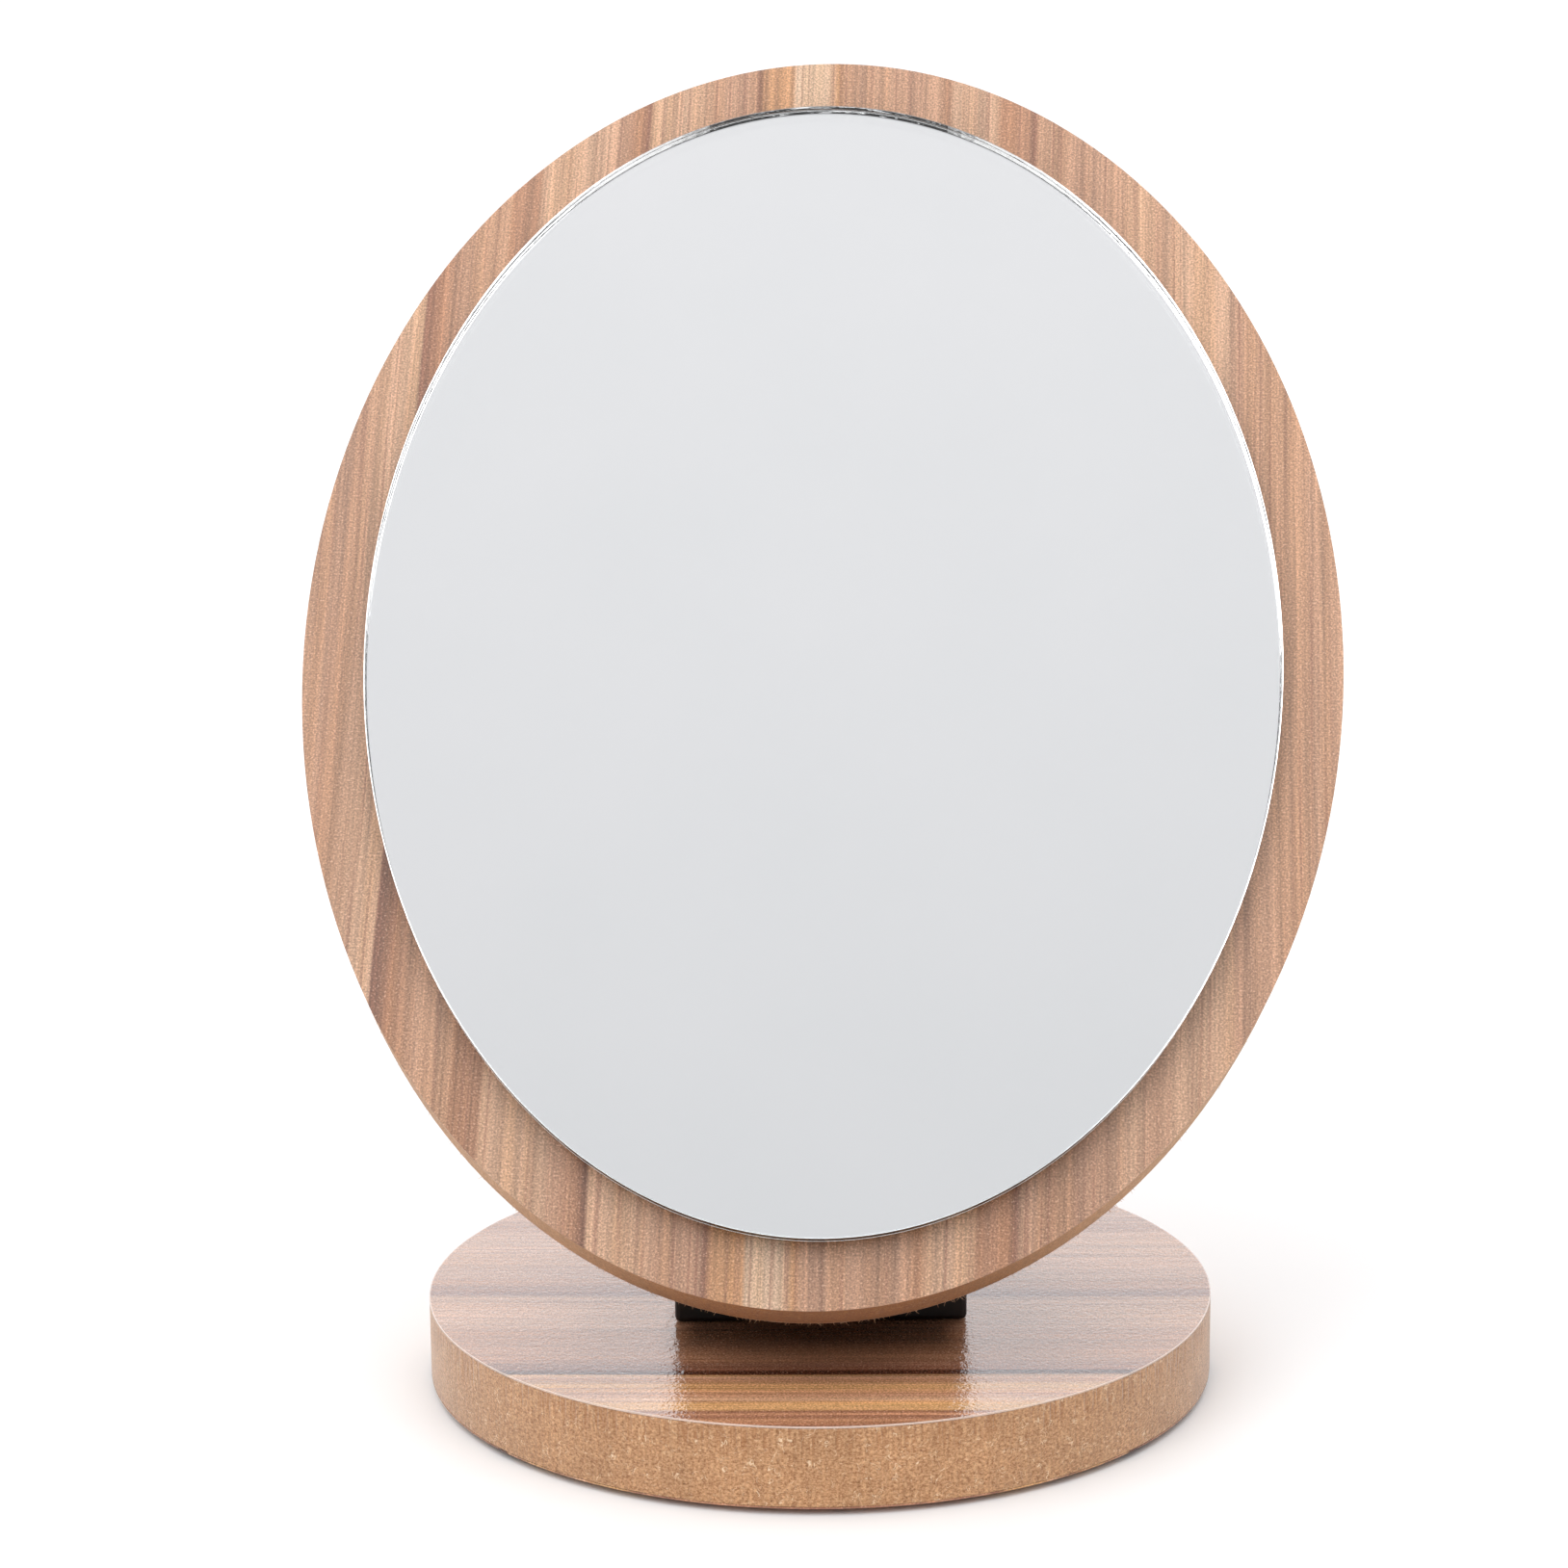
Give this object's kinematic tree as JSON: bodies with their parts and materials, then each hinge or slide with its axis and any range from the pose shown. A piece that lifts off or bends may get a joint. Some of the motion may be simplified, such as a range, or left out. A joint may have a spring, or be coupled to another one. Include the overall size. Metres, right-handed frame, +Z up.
{
  "type": "tabletop mirror",
  "caption": "Oval vanity mirror on a wooden panel that tilts on a black hinge bracket over a round wooden base.",
  "frame": {"origin": "centre of the base, on the surface that its pads stand on", "axes": "+Z up, -Y the way the mirror faces, +X to the right as its user looks at it"},
  "size_m": [0.155, 0.12, 0.1976],
  "materials": {
    "fibreboard": "matte",
    "woodgrain_film": "satin",
    "black_plastic": "satin",
    "steel": "satin",
    "nylon": "satin",
    "rubber": "matte",
    "glass": "polished",
    "silver_coat": "polished",
    "foam_tape": "matte"
  },
  "bodies": {
    "stand": {"foot_pad_1": "rubber", "foot_pad_2": "rubber", "foot_pad_3": "rubber", "foot_pad_4": "rubber", "base_bottom_film": "woodgrain_film", "base_board": "fibreboard", "base_top_film": "woodgrain_film", "base_screw_1": "steel", "base_screw_2": "steel", "stand_bracket": "black_plastic", "hinge_bolt": "steel", "hinge_nut": "steel", "friction_washer_left": "nylon", "friction_washer_right": "nylon"},
    "panel": {"hinge_leaf": "black_plastic", "leaf_screw_1": "steel", "leaf_screw_2": "steel", "leaf_screw_3": "steel", "leaf_screw_4": "steel", "panel_back_film": "woodgrain_film", "panel_board": "fibreboard", "panel_front_film": "woodgrain_film", "mirror_tape_1": "foam_tape", "mirror_tape_2": "foam_tape", "mirror_tape_3": "foam_tape", "mirror_silvering": "silver_coat", "mirror_glass": "glass"}
  },
  "joints": [
    {"name": "panel_tilt", "type": "hinge", "parent": "stand", "child": "panel", "pos_m": [0, -0.0194, 0.0505], "axis": [-1, 0, 0], "range_deg": [-30.4, 59.6]}
  ]
}
